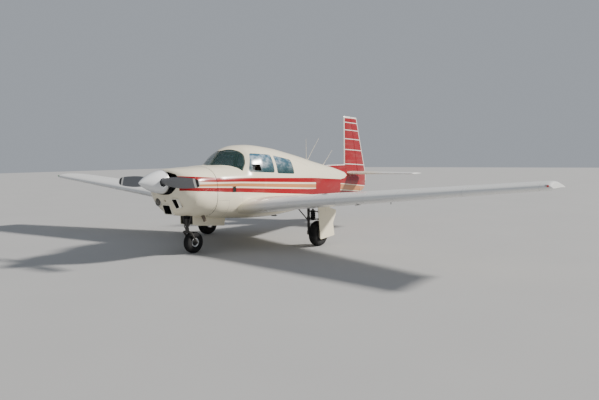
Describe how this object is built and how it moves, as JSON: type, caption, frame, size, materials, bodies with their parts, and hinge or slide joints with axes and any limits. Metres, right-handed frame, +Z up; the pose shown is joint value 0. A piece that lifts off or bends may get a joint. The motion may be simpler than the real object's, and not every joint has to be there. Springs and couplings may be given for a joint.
{
  "type": "light aircraft",
  "caption": "Low-wing single-propeller light aircraft parked on tricycle wheels, with a hollow cabin, hinged doors and moving flaps, ailerons, rudder and elevators.",
  "frame": {"origin": "on the ground under the middle of the length and of the span", "axes": "+X to the aircraft's left, -Y towards its nose, +Z up"},
  "size_m": [10.668, 7.06, 2.54],
  "materials": {
    "cream_paint": "gloss cream paint over sheet metal, with red and tan bands",
    "white_paint": "gloss white paint over sheet metal",
    "red_paint": "gloss red paint over sheet metal, with thin white lines",
    "window_glass": "clear curved acrylic with a green tint",
    "gear_steel": "dull painted steel tube",
    "bare_alloy": "bare cast alloy",
    "blade_paint": "satin dark grey paint with white and black tip bands",
    "tyre": "matt black rubber",
    "cabin_fabric": "woven brown seat cover",
    "cabin_trim": "black grained trim",
    "cabin_carpet": "brown carpet glued to a metal floor",
    "engine_casting": "grey casting"
  },
  "bodies": {
    "airframe": {"cabin_shell": "cream_paint", "nose_bowl": "cream_paint", "lower_cowl": "cream_paint", "upper_cowl": "cream_paint", "tail_cone": "cream_paint", "left_nose_gear_door": "cream_paint", "right_nose_gear_door": "cream_paint", "left_wing": "white_paint", "right_wing": "white_paint", "left_stabiliser": "white_paint", "right_stabiliser": "white_paint", "left_gear_door": "white_paint", "right_gear_door": "white_paint", "front_antenna": "white_paint", "rear_antenna": "white_paint", "fin": "red_paint", "windscreen": "window_glass", "left_front_window": "window_glass", "left_rear_window": "window_glass", "right_rear_window": "window_glass", "left_main_leg": "gear_steel", "right_main_leg": "gear_steel", "nose_leg": "gear_steel", "firewall": "gear_steel", "exhaust_pipe": "gear_steel", "boarding_step": "gear_steel", "propeller_shaft": "gear_steel", "left_front_seat": "cabin_fabric", "right_front_seat": "cabin_fabric", "rear_bench": "cabin_fabric", "instrument_panel": "cabin_trim", "cabin_floor": "cabin_carpet", "engine_block": "engine_casting"},
    "propeller": {"propeller": "blade_paint", "spinner": "white_paint"},
    "nose_steering": {"nose_fork": "gear_steel"},
    "nose_wheel": {"nose_tyre": "tyre", "nose_rim": "bare_alloy"},
    "left_wheel": {"left_main_tyre": "tyre", "left_main_rim": "bare_alloy"},
    "right_wheel": {"right_main_tyre": "tyre", "right_main_rim": "bare_alloy"},
    "cabin_door": {"cabin_door": "cream_paint", "cabin_door_window": "window_glass"},
    "baggage_door": {"baggage_door": "cream_paint"},
    "left_flap": {"left_flap": "white_paint"},
    "right_flap": {"right_flap": "white_paint"},
    "left_aileron": {"left_aileron": "white_paint"},
    "right_aileron": {"right_aileron": "white_paint"},
    "rudder": {"rudder": "red_paint"},
    "elevators": {"left_elevator": "white_paint", "right_elevator": "white_paint"}
  },
  "joints": [
    {"name": "propeller_spin", "type": "hinge", "parent": "airframe", "child": "propeller", "pos_m": [0, -3.19, 1.212], "axis": [0, 1, 0], "continuous": true},
    {"name": "nose_steer", "type": "hinge", "parent": "airframe", "child": "nose_steering", "pos_m": [0, -2.598, 0.4], "axis": [0, 0, 1], "range_deg": [-13, 13]},
    {"name": "nose_wheel_spin", "type": "hinge", "parent": "nose_steering", "child": "nose_wheel", "pos_m": [0, -2.47, 0.178], "axis": [1, 0, 0], "continuous": true},
    {"name": "left_wheel_spin", "type": "hinge", "parent": "airframe", "child": "left_wheel", "pos_m": [1.381, -0.779, 0.2225], "axis": [1, 0, 0], "continuous": true},
    {"name": "right_wheel_spin", "type": "hinge", "parent": "airframe", "child": "right_wheel", "pos_m": [-1.381, -0.779, 0.2225], "axis": [1, 0, 0], "continuous": true},
    {"name": "cabin_door_swing", "type": "hinge", "parent": "airframe", "child": "cabin_door", "pos_m": [-0.568, -1.678, 1.15], "axis": [0, 0, 1], "range_deg": [0, 75]},
    {"name": "baggage_door_swing", "type": "hinge", "parent": "airframe", "child": "baggage_door", "pos_m": [-0.464, -0.16, 1.416], "axis": [0.1529, 0.9882, 0], "range_deg": [0, 85]},
    {"name": "left_flap_swing", "type": "hinge", "parent": "airframe", "child": "left_flap", "pos_m": [0.64, -0.3937, 0.7024], "axis": [-0.9865, 0.1269, -0.1038], "range_deg": [0, 33]},
    {"name": "right_flap_swing", "type": "hinge", "parent": "airframe", "child": "right_flap", "pos_m": [-0.64, -0.3937, 0.7024], "axis": [-0.9865, -0.1269, 0.1038], "range_deg": [0, 33]},
    {"name": "left_aileron_swing", "type": "hinge", "parent": "airframe", "child": "left_aileron", "pos_m": [3.33, -0.7129, 0.9835], "axis": [0.9865, -0.1303, 0.0992], "range_deg": [-18, 18]},
    {"name": "right_aileron_swing", "type": "hinge", "parent": "airframe", "child": "right_aileron", "pos_m": [-3.33, -0.7129, 0.9835], "axis": [-0.9865, -0.1303, 0.0992], "range_deg": [-18, 18]},
    {"name": "rudder_swing", "type": "hinge", "parent": "airframe", "child": "rudder", "pos_m": [0, 3.19, 0.67], "axis": [0, -0.2289, 0.9735], "range_deg": [-23, 23]},
    {"name": "elevator_swing", "type": "hinge", "parent": "airframe", "child": "elevators", "pos_m": [0, 2.84, 1.18], "axis": [1, 0, 0], "range_deg": [-20, 24]}
  ],
  "couplings": [
    {"joint": "right_flap_swing", "follows": "left_flap_swing", "ratio": 1},
    {"joint": "right_aileron_swing", "follows": "left_aileron_swing", "ratio": 1}
  ]
}
